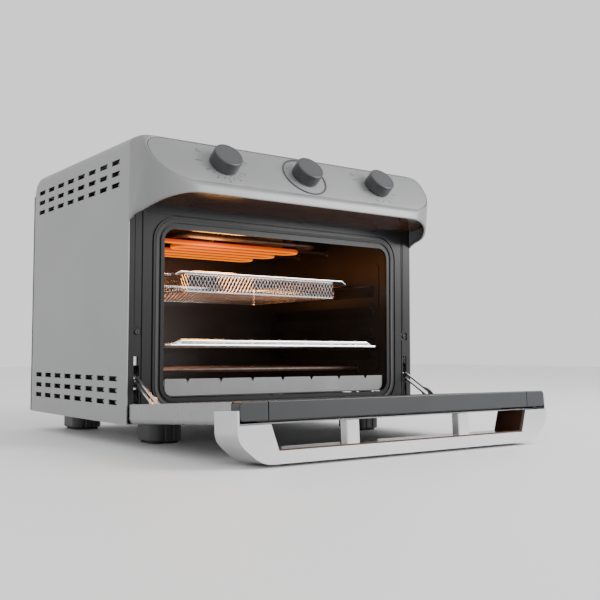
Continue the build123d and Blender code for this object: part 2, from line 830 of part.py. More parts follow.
def make_stay(side):
    """A slotted stay: it turns on the door and slides on the guide pin."""
    far = stay_span(stay_pivot_angle)
    closed = stay_span(stay_pivot_angle - door_open_angle)
    blade = SlotCenterToCenter(far + 6, 9.5, rotation=0)
    strip = Pos((far + 6) / 2, 0) * blade
    paddle = Pos(9, 0) * Ellipse(17, 7.5)
    slot = Pos((closed + far) / 2, 0) * SlotCenterToCenter(far - closed, stay_slot_width)
    bore = Circle(hinge_pin_radius - 0.5 + running_clearance)
    flat = extrude(strip + paddle - slot - bore, amount=stay_thickness / 2, both=True)
    py, pz = hinge_point(stay_pivot_angle, stay_radius)
    gy, gz = hinge_point(stay_guide_angle, stay_radius)
    plane = Plane(origin=(side * stay_x, py, pz + foot_height), x_dir=(0, gy - py, gz - pz), z_dir=(1, 0, 0))
    return plane * flat


def make_stay_pin(side):
    """The rivet that joins a stay to the door, drawn with the door open."""
    x = side * stay_x
    y, z = hinge_point(stay_pivot_angle, stay_radius)
    return rod((x - 6.5, y, z), (x + 6.5, y, z), hinge_pin_radius - 0.5)


# ---------------------------------------------------------------- door, drawn shut
def make_door_skin():
    """The silver pan of the door: outer face, sides and foot, open at the back."""
    skin_top_z = door_top_z - bar_height
    pan = block((-door_half_width, door_half_width), (door_outer_y, door_inner_y), (door_low_z, skin_top_z))
    long_edges = [
        edge
        for edge in pan.edges()
        if edge.center().Y < door_outer_y + 0.1 and edge.center().Z < skin_top_z + foot_height - 1
    ]
    pan = fillet(long_edges, door_edge_radius)
    hollow = block(
        (-door_half_width + sheet, door_half_width - sheet),
        (door_outer_y + sheet, door_inner_y + 1),
        (door_low_z + sheet, door_top_z),
    )
    hollow_edges = [
        edge
        for edge in hollow.edges()
        if edge.center().Y < door_outer_y + sheet + 0.1 and edge.center().Z < door_top_z + foot_height - 1
    ]
    hollow = fillet(hollow_edges, door_edge_radius - sheet)
    outline = ring_sketch(window_half_width, window_low_z, window_high_z, 10)
    window = upright(outline, door_outer_y - 1, door_outer_y + sheet + 1)
    return pan - hollow - window - both_sides(hinge_pocket)


def hinge_pocket(side):
    """The room that a hinge lug needs in the door's foot."""
    x = side * stay_x
    return block((x - 4.0, x + 4.0), (hinge_y - 7.5, 2), (door_low_z - 2, hinge_z + 7.5))


def stay_pocket(side):
    """The slot in the door's inner face that a stay swings in."""
    x = side * stay_x
    y, z = turned(hinge_point(stay_pivot_angle, stay_radius), -door_open_angle)
    return block((x - 2.4, x + 2.4), (y - 12.0, 2), (z - 20.0, z + 36.0))


def make_door_hinge_block(side):
    """The steel block inside a lower corner of the door that holds the pins."""
    x = side * stay_x
    low, high = sorted((side * (door_half_width - sheet - 0.2), side * (door_half_width - 20.0)))
    body = block((low, high), (door_outer_y + 3.2, door_inner_y - 1.4), (door_low_z + 2.2, 118))
    outer_low = (body.edges() | Axis.X).sort_by(lambda e: e.center().Z + e.center().Y)[0]
    outer_side = (body.edges() | Axis.Z).sort_by(lambda e: e.center().Y - abs(e.center().X))[0]
    body = chamfer([outer_low, outer_side], 5)
    pin_hole = rod((x - 8, hinge_y, hinge_z), (x + 8, hinge_y, hinge_z), hinge_pin_radius + 0.02)
    y, z = turned(hinge_point(stay_pivot_angle, stay_radius), -door_open_angle)
    rivet_hole = rod((x - 8, y, z), (x + 8, y, z), hinge_pin_radius - 0.5 + 0.02)
    return body - hinge_pocket(side) - stay_pocket(side) - pin_hole - rivet_hole


def make_hinge_pin(side):
    x = side * stay_x
    return rod((x - 7.0, hinge_y, hinge_z), (x + 7.0, hinge_y, hinge_z), hinge_pin_radius)


def make_door_inner_frame():
    """The pressed inner face of the door, round the inner glass."""
    edge = ring_sketch(door_half_width - sheet - 0.3, door_low_z + 0.6, door_top_z - bar_height - 0.2, 4)
    hole = ring_sketch(window_half_width - 8, window_low_z + 8, window_high_z - 8, 10)
    plate = upright(edge - hole, door_inner_y - 1.2, door_inner_y)
    foot_relief = block((-240, 240), (door_inner_y - 3, 2), (door_low_z - 1, door_low_z + 3.4))
    return plate - both_sides(hinge_pocket) - both_sides(stay_pocket) - foot_relief


def make_outer_glass():
    pane = ring_sketch(window_half_width + 10, window_low_z - 10, window_high_z + 10, 6)
    return upright(pane, door_outer_y + sheet, door_outer_y + sheet + glass_thickness)


def make_inner_glass():
    pane = ring_sketch(window_half_width + 2, window_low_z - 2, window_high_z + 2, 6)
    return upright(pane, door_inner_y - 1.2 - glass_thickness, door_inner_y - 1.2)


def make_glass_spacers():
    """Folded strips above and below the window that hold both panes."""
    strips = []
    y = (door_outer_y + sheet + glass_thickness, door_inner_y - 1.2 - glass_thickness)
    for z in (window_low_z + 1, window_high_z - 1):
        strips.append(block((-window_half_width + 4, window_half_width - 4), y, (z - 6, z + 6)))
    return strips


def bar_profile(x_low, x_high):
    y = (door_inner_y - bar_thickness, door_inner_y)
    return block((x_low, x_high), y, (door_top_z - bar_height, door_top_z))


def make_door_bar():
    bar = bar_profile(-bar_seam_x + 0.3, bar_seam_x - 0.3)
    return fillet([e for e in bar.edges() | Axis.X if e.center().Z > door_top_z + foot_height - 1], 1.2)


def make_bar_end(side):
    """A moulded end of the top bar with a rounded outer corner."""
    low, high = sorted((side * (bar_seam_x + 0.3), side * door_half_width))
    end = bar_profile(low, high)
    corner = [
        e
        for e in end.edges() | Axis.Z
        if abs(e.center().X) > door_half_width - 1
    ]
    end = fillet(corner, 5.0)
    return fillet([e for e in end.edges() if e.center().Z > door_top_z + foot_height - 0.5], 1.2)


def handle_outline(inset):
    """The handle seen from above: a shallow U with swept corners, round a tapered finger gap."""
    outer = handle_half_width - inset
    foot = handle_half_width - 43
    front = door_inner_y - handle_reach + inset
    start = door_inner_y - 9.0 - inset
    turn_y = door_inner_y - 30.0
    sweep_y = front + 14
    edges = [
        Line((outer, start), (outer, turn_y)),
        Spline((outer, turn_y), (outer - 12, sweep_y), (foot, front), tangents=[(0, -1), (-1, 0)]),
        Line((foot, front), (-foot, front)),
        Spline((-foot, front), (-outer + 12, sweep_y), (-outer, turn_y), tangents=[(-1, 0), (0, 1)]),
        Line((-outer, turn_y), (-outer, start)),
        Line((-outer, start), (outer, start)),
    ]
    return make_face(Wire(edges))


def finger_gap(grow):
    """The tapered opening between the door and the handle's bar."""
    far_y = door_inner_y - handle_reach + handle_bar_thickness - grow
    wide = finger_gap_half_width + grow
    narrow = wide - finger_gap_taper
    right = [(narrow, far_y), (wide, door_outer_y), (wide, 20)]
    left = [(-x, y) for x, y in reversed(right)]
    return Polygon(*left, *right, align=None)


def door_form_xy():
    """The door's own width and depth, cut out of the handle's ends."""
    near_y = door_inner_y + 20
    return Pos(0, (near_y + door_outer_y) / 2) * Rectangle(2 * door_half_width, near_y - door_outer_y)


def make_handle_band():
    """The silver handle: a hollow band, closed towards the top of the door."""
    top = door_top_z - 0.6
    low = top - handle_depth
    outline = handle_outline(0.0) - finger_gap(0.0) - door_form_xy()
    band = level(outline, low, top)
    door_side = Pos(0, 10) * Rectangle(600, 2 * (10 - door_outer_y + 3))
    pocket = handle_outline(handle_wall) - finger_gap(handle_wall + 1.6) - door_side
    return band - level(pocket, low - 1, top - handle_wall)


def make_handle_lining():
    """The dark glossy lining of the finger gap."""
    top = door_top_z - 3.4
    low = door_top_z - 0.6 - handle_depth
    below_door = Pos(0, (door_outer_y - 0.3 - 100) / 2) * Rectangle(600, 100 + door_outer_y - 0.3)
    outline = (finger_gap(-0.1) - finger_gap(-1.6)) & below_door
    return level(outline, low, top)


def make_post(side):
    """A silver post between the door's face and the handle's bar."""
    x = side * post_x
    top = door_top_z - 4.0
    far = door_inner_y - handle_reach + handle_bar_thickness + 1.6
    sketch = Pos(x, (door_outer_y + far) / 2) * Rectangle(post_width, door_outer_y - far)
    post = level(sketch, top - 12, top)
    return chamfer(post.edges() | Axis.Y, 1.0)


# ---------------------------------------------------------------- basket, rack and tray
def make_rack():
    """The chrome shelf: a perimeter loop, cross wires, and a raised front rail."""
    z = guide_levels[rack_level] + rack_wire + seat_gap
    loop = bent_rod(
        [
            (rack_half_width, rack_front_y, z),
            (rack_half_width, rack_back_y, z),
            (-rack_half_width, rack_back_y, z),
            (-rack_half_width, rack_front_y, z),
        ],
        rack_wire,
        12.0,
        close=True,
    )
    bars = [
        rod((index * rack_pitch, rack_front_y, z + 1.6), (index * rack_pitch, rack_back_y, z + 1.6), 1.5)
        for index in range(-3, 4)
    ]
    ties = [rod((-rack_half_width, y, z - 1.2), (rack_half_width, y, z - 1.2), 1.6) for y in (110, 190)]
    rail_y = rack_front_y + 1
    rail = bent_rod(
        [
            (-rack_half_width + 13, rail_y + 1, z),
            (-rack_half_width + 27, rail_y, z + rack_rail_rise),
            (rack_half_width - 27, rail_y, z + rack_rail_rise),
            (rack_half_width - 13, rail_y + 1, z),
        ],
        rack_wire,
        7.0,
    )
    posts = [
        rod((x, rail_y + 2, z), (x, rail_y + 2, z + rack_rail_rise + 3), 1.5)
        for x in [index * rack_pitch for index in range(-3, 4)]
    ]
    return loop + bars + ties + rail + posts


def make_basket_mesh():
    """The air-fry basket's pan of expanded sheet, as its outer form."""
    top = basket_rim_z + 3.0
    low = top - basket_depth
    middle = (basket_front_y + basket_back_y) / 2
    deep = basket_back_y - basket_front_y
    outer = level(Pos(0, middle) * RectangleRounded(2 * basket_half_width, deep, 8), low, top)
    inner = level(
        Pos(0, middle) * RectangleRounded(2 * (basket_half_width - basket_sheet), deep - 2 * basket_sheet, 7),
        low + basket_sheet,
        top + 1,
    )
    return outer - inner


def make_basket_frame():
    """The basket's wire frame: a rim round the pan and wings that rest on the runners."""
    z = basket_rim_z
    reach = basket_half_width + 2.2 + 0.1
    rim = bent_rod(
        [
            (reach, basket_front_y - 2.3, z + 3),
            (reach, basket_back_y + 2.3, z + 3),
            (-reach, basket_back_y + 2.3, z + 3),
            (-reach, basket_front_y - 2.3, z + 3),
        ],
        2.0,
        10.0,
        close=True,
    )
    wings = [
        bent_rod(
            [
                (side * reach, 84, z + 2),
                (side * rack_half_width, 84, z),
                (side * rack_half_width, 276, z),
                (side * reach, 276, z + 2),
            ],
            2.0,
            8.0,
        )
        for side in (-1, 1)
    ]
    hooks = [
        bent_rod(
            [
                (side * (reach - 8), basket_front_y - 2.3, z + 3),
                (side * (reach + 5), basket_front_y - 2.3, z + 3),
                (side * (reach + 12), basket_front_y - 2.3, z - 1),
            ],
            1.8,
            3.0,
        )
        for side in (-1, 1)
    ]
    return rim + wings + hooks


def make_crumb_tray():
    """The sliding tray: a shallow pan behind a tall notched front."""
    low = cavity_floor_z + seat_gap
    front_y = frame_back_y + 2.0
    face = Pos(0, (low + tray_top_z) / 2) * RectangleRounded(2 * tray_half_width, tray_top_z - low, 10)
    square_top = Pos(0, (low + 10 + tray_top_z) / 2) * Rectangle(2 * tray_half_width, tray_top_z - low - 10)
    first = -(tray_notches - 1) / 2 * tray_notch_pitch
    notch = Polygon((-3.4, 0.5), (3.4, 0.5), (0, -5.4), align=None)
    notches = [Pos(first + index * tray_notch_pitch, tray_top_z) * notch for index in range(tray_notches)]
    front = upright(face + square_top - notches, front_y, front_y + 1.4)
    pan = block((-tray_half_width + 12, tray_half_width - 12), (front_y, 300), (low, low + 10))
    hollow = block((-tray_half_width + 13, tray_half_width - 13), (front_y + 1.4, 299), (low + 1, low + 11))
    return front + (pan - hollow)


# ---------------------------------------------------------------- assembly
def all_parts():
    parts = {
        "outer_shell": make_outer_shell(),
        "back_panel": make_back_panel(),
        "cord_gland": make_cord_gland(),
        "base_plate": make_base_plate(),
        "feet": make_feet(),
        "foot_soles": make_soles(),
        "front_frame": make_front_frame(),
        "screws": make_back_screws() + make_foot_screws() + make_frame_screws(),
        "door_gasket": make_gasket(),
        "cavity_left_wall": make_side_wall(-1),
        "cavity_right_wall": make_side_wall(1),
        "cavity_back_wall": make_cavity_back(),
        "cavity_floor": make_cavity_floor(),
        "cavity_roof": make_cavity_roof(),
        "roof_insulation": make_roof_insulation(),
        "grill_element": make_grill_element(),
        "loop_element": make_loop_element(),
        "base_elements": make_base_elements(),
        "element_hangers": make_element_hangers(),
        "element_collars": make_element_ends(),
        "fan_wheel": make_fan_wheel(),
        "fan_shaft": make_fan_shaft(),
        "fan_motor": make_fan_motor(),
        "fan_cover": make_fan_cover(),
        "hood": make_hood(),
        "hood_soffit": make_soffit(),
        "fascia_panel": make_fascia_panel(),
        "fascia_border": make_fascia_border(),
        "centre_dial_ring": make_centre_ring(),
        "control_plate": make_control_plate(),
        "thermostat_body": make_control(-knob_spacing, 42, 34, 22),
        "selector_body": make_control(0.0, 38, 34, 24),
        "timer_body": make_control(knob_spacing, 44, 36, 22),
        "guide_pins": both_sides(make_guide_pin),
        "wire_rack": make_rack(),
        "basket_mesh": make_basket_mesh(),
        "basket_frame": make_basket_frame(),
        "crumb_tray": make_crumb_tray(),
    }
    for place, x in zip(("left", "centre", "right"), knob_places()):
        parts[f"knob_{place}"] = make_knob(x)
        parts[f"knob_{place}_shaft"] = make_knob_shaft(x)
    for place, side in (("left", -1), ("right", 1)):
        parts[f"hinge_cage_{place}"] = make_hinge_cage(side)
        parts[f"door_stay_{place}"] = make_stay(side)
    door = {
        "door_skin": [make_door_skin()],
        "door_hinge_blocks": both_sides(make_door_hinge_block),
        "door_inner_frame": [make_door_inner_frame()],
        "door_outer_glass": [make_outer_glass()],
        "door_inner_glass": [make_inner_glass()],
        "door_glass_spacers": make_glass_spacers(),
        "door_bar": [make_door_bar()],
        "door_bar_ends": both_sides(make_bar_end),
        "handle_band": [make_handle_band()],
        "handle_lining": [make_handle_lining()],
        "handle_posts": both_sides(make_post),
    }
    for name, pieces in door.items():
        parts[name] = [opened(piece) for piece in pieces]
    hinge_pins = [opened(pin) for pin in both_sides(make_hinge_pin)]
    parts["door_pivot_pins"] = hinge_pins + both_sides(make_stay_pin)
    return parts


def as_compound(shape):
    pieces = shape if isinstance(shape, list) else [shape]
    return Compound(children=[solid for piece in pieces for solid in piece.solids()])


def main():
    os.makedirs("parts", exist_ok=True)
    built = {name: as_compound(shape) for name, shape in all_parts().items()}
    boxes = [shape.bounding_box() for shape in built.values()]
    front = min(box.min.Y for box in boxes)
    back = max(box.max.Y for box in boxes)
    shift = -(front + back) / 2
    for name, shape in built.items():
        export_step(Pos(0, shift, 0) * shape, f"parts/{name}.step")
    print(f"moved along y by {shift:.3f} mm; {len(built)} sub-parts")


main()
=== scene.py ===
import math

import bmesh
import bpy
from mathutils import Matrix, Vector


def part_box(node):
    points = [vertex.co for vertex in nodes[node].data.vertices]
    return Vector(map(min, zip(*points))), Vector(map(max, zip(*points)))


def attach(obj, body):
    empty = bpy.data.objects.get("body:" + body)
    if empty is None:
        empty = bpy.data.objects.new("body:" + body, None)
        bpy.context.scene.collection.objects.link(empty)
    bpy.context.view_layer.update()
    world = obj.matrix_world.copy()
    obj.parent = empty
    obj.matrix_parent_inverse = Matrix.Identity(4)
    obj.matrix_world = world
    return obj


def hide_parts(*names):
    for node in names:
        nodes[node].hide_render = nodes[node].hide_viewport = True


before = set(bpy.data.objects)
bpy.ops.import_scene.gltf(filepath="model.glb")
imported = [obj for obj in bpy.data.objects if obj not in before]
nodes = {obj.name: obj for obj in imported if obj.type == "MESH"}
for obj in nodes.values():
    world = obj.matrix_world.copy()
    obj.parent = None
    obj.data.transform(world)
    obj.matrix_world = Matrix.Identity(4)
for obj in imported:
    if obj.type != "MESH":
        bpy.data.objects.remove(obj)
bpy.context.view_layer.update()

# ---------------------------------------------------------------- places taken from the frame
shell_low, shell_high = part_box("outer_shell")
front = shell_low.y
foot_height = shell_low.z
shell_top = shell_high.z
half_width = shell_high.x


# ---------------------------------------------------------------- material helpers
class Look:
    """A node material: a Principled shader with colour, roughness and bump built up in steps."""

    def __init__(self, name, colour, roughness, metallic=0.0, **sockets):
        self.material = bpy.data.materials.new(name)
        self.material.use_nodes = True
        self.tree = self.material.node_tree
        self.shader = self.tree.nodes["Principled BSDF"]
        self.colour = colour
        self.roughness = roughness
        self.set("Base Color", (*colour, 1.0))
        self.set("Roughness", roughness)
        self.set("Metallic", metallic)
        for socket, value in sockets.items():
            self.set(socket.replace("_", " ").title().replace("Ior", "IOR"), value)
        self.bump = None
        self.place = self.node("ShaderNodeTexCoord").outputs["Object"]

    def set(self, socket, value):
        self.shader.inputs[socket].default_value = value

    def node(self, kind, **values):
        made = self.tree.nodes.new(kind)
        for key, value in values.items():
            setattr(made, key, value)
        return made

    def link(self, source, target):
        self.tree.links.new(source, target)

    def noise(self, scale, stretch=(1, 1, 1), detail=3.0, rough=0.55):
        mapping = self.node("ShaderNodeMapping")
        mapping.inputs["Scale"].default_value = stretch
        self.link(self.place, mapping.inputs["Vector"])
        made = self.node("ShaderNodeTexNoise")
        made.inputs["Scale"].default_value = scale
        made.inputs["Detail"].default_value = detail
        made.inputs["Roughness"].default_value = rough
        self.link(mapping.outputs["Vector"], made.inputs["Vector"])
        return made.outputs["Fac"]

    def ramp(self, value, low, high, stops=(0.35, 0.65)):
        made = self.node("ShaderNodeValToRGB")
        first, last = made.color_ramp.elements
        first.position, last.position = stops
        first.color, last.color = (*low, 1.0), (*high, 1.0)
        self.link(value, made.inputs["Fac"])
        return made.outputs["Color"]

    def mottle(self, scale, spread, stretch=(1, 1, 1)):
        """Small colour variation about the base colour."""
        low = [c * (1 - spread) for c in self.colour]
        high = [min(1.0, c * (1 + spread)) for c in self.colour]
        self.link(self.ramp(self.noise(scale, stretch), low, high), self.shader.inputs["Base Color"])
        return self

    def smudge(self, scale, spread, stretch=(1, 1, 1)):
        """Roughness that varies over the surface, as handling and wiping leave it."""
        made = self.node("ShaderNodeMapRange")
        made.inputs["To Min"].default_value = max(0.02, self.roughness - spread)
        made.inputs["To Max"].default_value = min(1.0, self.roughness + spread)
        self.link(self.noise(scale, stretch), made.inputs["Value"])
        self.link(made.outputs["Result"], self.shader.inputs["Roughness"])
        return self

    def grain(self, scale, strength, distance=0.0002, stretch=(1, 1, 1)):
        """Fine surface relief, added to whatever relief is there already."""
        made = self.node("ShaderNodeBump")
        made.inputs["Strength"].default_value = strength
        made.inputs["Distance"].default_value = distance
        self.link(self.noise(scale, stretch, detail=2.0), made.inputs["Height"])
        if self.bump:
            self.link(self.bump, made.inputs["Normal"])
        self.bump = made.outputs["Normal"]
        self.link(self.bump, self.shader.inputs["Normal"])
        return self


def wear(node_names, look):
    """Gives CAD nodes a look."""
    for name in node_names:
        slots = nodes[name].material_slots
        for slot in slots:
            slot.material = look.material


# ---------------------------------------------------------------- looks
shell_paint = Look("shell_paint", (0.30, 0.303, 0.306), 0.42, 0.35)
shell_paint.mottle(6.0, 0.03).smudge(9.0, 0.04).grain(1800.0, 0.10)
wear(["outer_shell", "back_panel"], shell_paint)

hood_skin = Look("hood_plastic", (0.22, 0.222, 0.226), 0.40, 0.25)
hood_skin.mottle(8.0, 0.03).smudge(12.0, 0.04).grain(2600.0, 0.18)
wear(["hood"], hood_skin)

fascia_skin = Look("fascia_plastic", (0.24, 0.242, 0.247), 0.46, 0.3)
fascia_skin.mottle(9.0, 0.03).grain(3000.0, 0.28)
wear(["fascia_panel"], fascia_skin)

trim = Look("dark_trim", (0.05, 0.05, 0.052), 0.30)
trim.smudge(30.0, 0.05)

ink = Look("printed_ink", (0.045, 0.045, 0.048), 0.5)
ink.mottle(200.0, 0.1)
wear(["fascia_border", "centre_dial_ring"], trim)

# Near-black gloss whose brown base colour is a painted reflection of the orange grill glow; the hood soffit
# and the handle lining both wear it.
soffit = Look("gloss_painted_glow_reflection", (0.060, 0.024, 0.013), 0.16)
soffit.smudge(20.0, 0.04).mottle(15.0, 0.15)
wear(["hood_soffit", "handle_lining"], soffit)

knob_skin = Look("knob_plastic", (0.046, 0.047, 0.050), 0.36)
knob_skin.mottle(20.0, 0.05).smudge(50.0, 0.05).grain(4000.0, 0.12)
wear(["knob_left", "knob_centre", "knob_right"], knob_skin)

enamel = Look("black_enamel", (0.009, 0.009, 0.010), 0.34)
enamel.set("Specular IOR Level", 0.28)
enamel.smudge(14.0, 0.05).grain(700.0, 0.06)
wear(["front_frame", "door_inner_frame"], enamel)

seal = Look("seal", (0.05, 0.05, 0.05), 0.75)
seal.grain(1500.0, 0.5)
wear(["door_gasket"], seal)

liner = Look("liner_enamel", (0.022, 0.018, 0.016), 0.36)
liner.set("Specular IOR Level", 0.5)
liner.mottle(12.0, 0.2).smudge(18.0, 0.08, (1, 6, 1)).grain(900.0, 0.05)
wear(
    ["cavity_left_wall", "cavity_right_wall", "cavity_back_wall", "cavity_floor", "cavity_roof", "fan_cover"],
    liner,
)

hot = Look("hot_element", (0.10, 0.02, 0.004), 0.6)
hot.set("Specular IOR Level", 0.1)
level = hot.node("ShaderNodeSeparateXYZ")
hot.link(hot.node("ShaderNodeTexCoord").outputs["Generated"], level.inputs["Vector"])
glow_colour = hot.ramp(level.outputs["Z"], (1.0, 0.24, 0.0), (0.40, 0.04, 0.0), (0.03, 0.36))
hot.link(glow_colour, hot.shader.inputs["Emission Color"])
hot.set("Emission Strength", 1.6)
wear(["grill_element"], hot)

sheath = Look("element_sheath", (0.10, 0.065, 0.05), 0.42, 0.6)
sheath.mottle(60.0, 0.25)
wear(["loop_element", "base_elements", "element_hangers"], sheath)

zinc = Look("zinc_plate", (0.72, 0.72, 0.73), 0.24, 1.0)
zinc.mottle(90.0, 0.06).smudge(80.0, 0.06)
wear(
    [f"{kind}_{side}" for kind in ("hinge_cage", "door_stay") for side in ("left", "right")]
    + ["guide_pins", "door_pivot_pins"],
    zinc,
)

screw_black = Look("screw_black", (0.035, 0.035, 0.036), 0.38, 0.4)
screw_black.mottle(80.0, 0.1)
wear(["screws"], screw_black)

chrome = Look("rack_chrome", (0.78, 0.78, 0.79), 0.13, 1.0)
chrome.smudge(60.0, 0.03)
wear(["wire_rack", "basket_frame", "basket_mesh"], chrome)

warm_steel = Look("basket_underside", (0.34, 0.22, 0.16), 0.30, 0.9)
warm_steel.mottle(60.0, 0.15).smudge(50.0, 0.08)

tray_steel = Look("tray_steel", (0.20, 0.20, 0.205), 0.42, 0.4)
tray_steel.mottle(20.0, 0.06).smudge(25.0, 0.06, (8, 1, 1)).grain(1200.0, 0.1)
wear(["crumb_tray"], tray_steel)

silver = Look("door_silver", (0.33, 0.332, 0.34), 0.28, 0.8)
silver.mottle(10.0, 0.03).smudge(14.0, 0.04).grain(2400.0, 0.06)
wear(["door_skin"], silver)

bright_silver = Look("handle_silver", (0.62, 0.62, 0.63), 0.22, 0.95)
bright_silver.mottle(10.0, 0.03).smudge(14.0, 0.04).grain(2400.0, 0.05)
wear(["handle_band", "handle_posts"], bright_silver)

bar_skin = Look("bar_satin", (0.028, 0.029, 0.031), 0.33)
bar_skin.set("Specular IOR Level", 0.35)
bar_skin.smudge(18.0, 0.05).grain(2600.0, 0.12)
wear(["door_bar", "door_bar_ends"], bar_skin)

plain_steel = Look("plain_steel", (0.5, 0.5, 0.5), 0.35, 0.9)
plain_steel.mottle(40.0, 0.06).smudge(40.0, 0.06)
wear(
    ["base_plate", "door_hinge_blocks", "control_plate", "door_glass_spacers", "fan_wheel", "fan_shaft"],
    plain_steel,
)

glass = Look("dark_glass", (0.10, 0.10, 0.11), 0.03, transmission_weight=0.9, ior=1.5)
wear(["door_outer_glass", "door_inner_glass"], glass)

foot_plastic = Look("foot_plastic", (0.045, 0.045, 0.048), 0.45)
foot_plastic.mottle(30.0, 0.08).grain(1600.0, 0.25)
wear(["feet"], foot_plastic)

rubber = Look("rubber", (0.015, 0.015, 0.015), 0.8)
rubber.grain(1200.0, 0.4)
wear(["foot_soles", "cord_gland"], rubber)

ceramic = Look("ceramic", (0.72, 0.70, 0.64), 0.6)
ceramic.mottle(200.0, 0.08)
wear(["element_collars"], ceramic)

wool = Look("glass_wool", (0.62, 0.56, 0.34), 0.95)
wool.mottle(300.0, 0.25).grain(500.0, 0.8)
wear(["roof_insulation"], wool)

motor_paint = Look("motor_paint", (0.16, 0.16, 0.17), 0.45, 0.3)
motor_paint.mottle(50.0, 0.08)
wear(["fan_motor"], motor_paint)

switch_plastic = Look("switch_plastic", (0.60, 0.57, 0.50), 0.5)
switch_plastic.mottle(60.0, 0.05)
wear(
    ["thermostat_body", "selector_body", "timer_body"]
    + [f"knob_{name}_shaft" for name in ("left", "centre", "right")],
    switch_plastic,
)

# ---------------------------------------------------------------- mesh helpers
MM = 0.001


def place(x, y, z):
    """Millimetres from the shell's lower front edge to metres in the frame."""
    return Vector((x * MM, front + y * MM, foot_height + z * MM))


def mesh_object(name, points, faces, look, smooth=True):
    mesh = bpy.data.meshes.new(name)
    mesh.from_pydata([tuple(point) for point in points], [], faces)
    work = bmesh.new()
    work.from_mesh(mesh)
    bmesh.ops.remove_doubles(work, verts=work.verts, dist=1e-6)
    bmesh.ops.recalc_face_normals(work, faces=work.faces)
    work.to_mesh(mesh)
    work.free()
    made = bpy.data.objects.new(name, mesh)
    bpy.context.collection.objects.link(made)
    mesh.materials.append(look.material)
    if smooth:
        mesh.shade_smooth()
    return made


def skin_rows(rows, closed):
    """Points and quads of a surface through rows of equal length."""
    wide = len(rows[0])
    points = [point for row in rows for point in row]
    faces = []
    for r in range(len(rows) - 1):
        for c in range(wide if closed else wide - 1):
            d = (c + 1) % wide
            faces.append((r * wide + c, r * wide + d, (r + 1) * wide + d, (r + 1) * wide + c))
    return points, faces


# ---------------------------------------------------------------- hood and fascia
FASCIA_LEAN = math.radians(37.6)
FASCIA_FOOT = (-67.1, 300.2)
FASCIA_HALF = 233.0
PANEL_RISE = 1.2
KNOB_SPACING = 130.5
KNOB_SLOPE = 38.2
KNOB_TOP = 19.93
LINE_RADII = (16.1, 16.6)
DOT_RADIUS = 0.95
DOT_SIDES = 16
FASCIA_LOW = 1.5
FASCIA_TOP = 76.0
LOWER_RADIUS = 48.0
UPPER_RADIUS = 22.0
HOOD_FRONT = -72.0
HOOD_LIP = 286.0
HOOD_CHEEK = 254.4
HOOD_RADIUS = 62.0
SHELL_TOP = (shell_top - foot_height) / MM
SHELL_HALF = half_width / MM
SHELL_RADIUS = 12.0


LIP_STEPS = 12
LOWER_STEPS = 18
SIDE_STEPS = 3
UPPER_STEPS = 10
TOP_STEPS = 12
SIDE_END = LIP_STEPS + LOWER_STEPS + SIDE_STEPS
SIDE_RUN = 24.0
BLEND_START = 17
BLEND_STEPS = 14


def on_slope(x, slope, height=0.0):
    """A point on the leaning fascia, in millimetres from the shell's lower front edge."""
    y = FASCIA_FOOT[0] + slope * math.sin(FASCIA_LEAN) - height * math.cos(FASCIA_LEAN)
    z = FASCIA_FOOT[1] + slope * math.cos(FASCIA_LEAN) + height * math.sin(FASCIA_LEAN)
    return Vector((x, y, z))


def spread(low, high, count):
    """count values from low towards high, without high itself."""
    return [low + (high - low) * index / count for index in range(count)]


def fascia_outline(margin=0.0):
    """The left half of the fascia's rim as (x, slope), from bottom centre to top centre."""
    half = FASCIA_HALF - margin
    low, top = FASCIA_LOW + margin, FASCIA_TOP - margin
    lower, upper = LOWER_RADIUS - margin, UPPER_RADIUS - margin
    path = [(x, low) for x in spread(0.0, -(half - lower), LIP_STEPS)]
    path += [
        (-(half - lower) - lower * math.sin(turn), low + lower - lower * math.cos(turn))
        for turn in spread(0.0, math.pi / 2, LOWER_STEPS)
    ]
    path += [(-half, slope) for slope in spread(low + lower, top - upper, SIDE_STEPS)]
    path += [
        (-(half - upper) - upper * math.cos(turn), top - upper + upper * math.sin(turn))
        for turn in spread(0.0, math.pi / 2, UPPER_STEPS)
    ]
    path += [(x, top) for x in spread(-(half - upper), 0.0, TOP_STEPS)]
    return path + [(0.0, top)]


def lower_edge(share):
    """The hood's lower edge round its left front corner: share 0 at the lip, 1 at the shell.

    The edge swells near the shell, which keeps it above the handle of the shut door.
    """
    corner = math.pi / 2 * HOOD_RADIUS
    tail = -HOOD_FRONT - HOOD_RADIUS
    along = share * (corner + tail)
    turn = min(along / HOOD_RADIUS, math.pi / 2)
    x = -SHELL_HALF + HOOD_RADIUS - HOOD_RADIUS * math.sin(turn)
    y = HOOD_FRONT + HOOD_RADIUS - HOOD_RADIUS * math.cos(turn) + max(0.0, along - corner)
    rise = math.sin((1 - share) * math.pi / 2) ** 1.4
    rise += 0.11 * math.exp(-(((share - 0.88) / 0.12) ** 2)) * min(1.0, (1 - share) / 0.06)
    return Vector((x, y, HOOD_CHEEK + (HOOD_LIP - HOOD_CHEEK) * rise))


